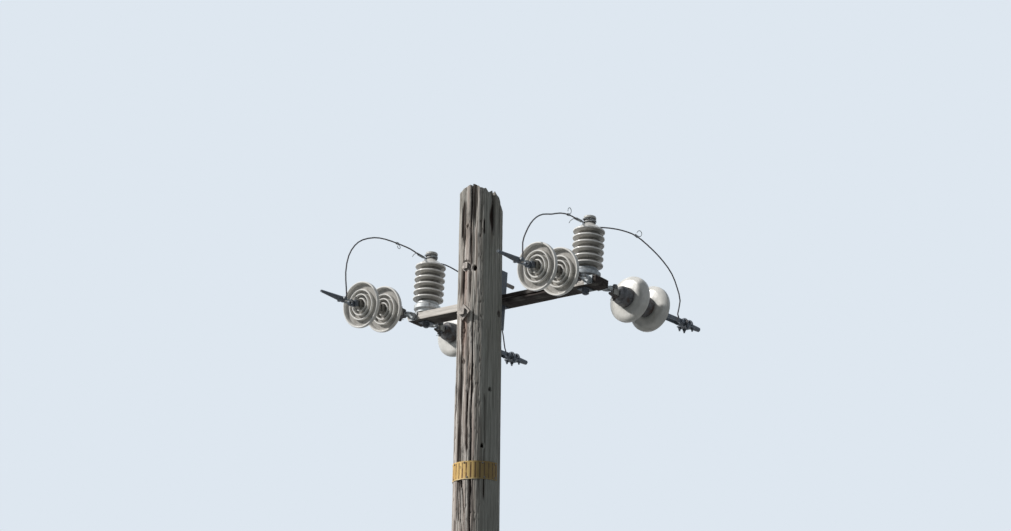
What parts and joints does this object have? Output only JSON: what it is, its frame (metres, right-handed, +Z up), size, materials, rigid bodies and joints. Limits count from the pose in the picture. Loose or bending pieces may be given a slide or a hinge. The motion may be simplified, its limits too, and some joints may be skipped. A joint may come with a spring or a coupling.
{
  "type": "wooden utility pole",
  "caption": "Weathered wooden power pole with a short crossarm, ribbed post insulators, dead-end strings of disc insulators, and bare jumper wires joining the strings in pairs.",
  "frame": {"origin": "centre of the pole's flat butt at ground level", "axes": "+Z up along the pole, +X along the crossarm towards its longer side, +Y along the line, from the bare side of the pole to the side with the crossarm"},
  "size_m": [1.165, 1.3475, 10.36],
  "materials": {
    "pole_wood": "weathered grey-brown, split and dry",
    "crossarm_wood": "bleached pale timber",
    "sign_yellow": "faded and scratched yellow",
    "bare_wire": "dull weathered",
    "grey_porcelain": "glossy pale grey glaze",
    "dull_iron": "weathered, rust in places",
    "zinc_steel": "old zinc coat, dull"
  },
  "bodies": {
    "root": {"pole": "pole_wood", "crossarm": "crossarm_wood", "crossarm_bracket": "zinc_steel", "crossarm_bolt": "zinc_steel", "upper_through_bolt": "zinc_steel", "lower_through_bolt": "zinc_steel", "left_post_base": "zinc_steel", "left_post_porcelain": "grey_porcelain", "left_post_stud": "zinc_steel", "right_post_base": "zinc_steel", "right_post_porcelain": "grey_porcelain", "right_post_stud": "zinc_steel", "left_eye_rod": "zinc_steel", "right_eye_rod": "zinc_steel", "near_left_eye_nut": "dull_iron", "near_right_eye_nut": "dull_iron", "far_left_eye_nut": "dull_iron", "far_right_eye_nut": "dull_iron", "near_left_shackle": "dull_iron", "near_right_shackle": "dull_iron", "far_left_shackle": "dull_iron", "far_right_shackle": "dull_iron", "near_left_discs": "grey_porcelain", "near_right_discs": "grey_porcelain", "far_left_discs": "grey_porcelain", "far_right_discs": "grey_porcelain", "near_left_inner_fittings": "dull_iron", "near_right_inner_fittings": "dull_iron", "far_left_inner_fittings": "dull_iron", "far_right_inner_fittings": "dull_iron", "near_left_outer_fittings": "dull_iron", "near_right_outer_fittings": "dull_iron", "far_left_outer_fittings": "dull_iron", "far_right_outer_fittings": "dull_iron", "near_left_clamp": "zinc_steel", "near_right_clamp": "zinc_steel", "far_left_clamp": "zinc_steel", "far_right_clamp": "zinc_steel", "near_left_u_bolts": "zinc_steel", "near_right_u_bolts": "zinc_steel", "far_left_u_bolts": "zinc_steel", "far_right_u_bolts": "zinc_steel", "left_jumper": "bare_wire", "right_jumper": "bare_wire", "jumper_ties": "bare_wire", "sign_band": "sign_yellow"}
  },
  "joints": []
}
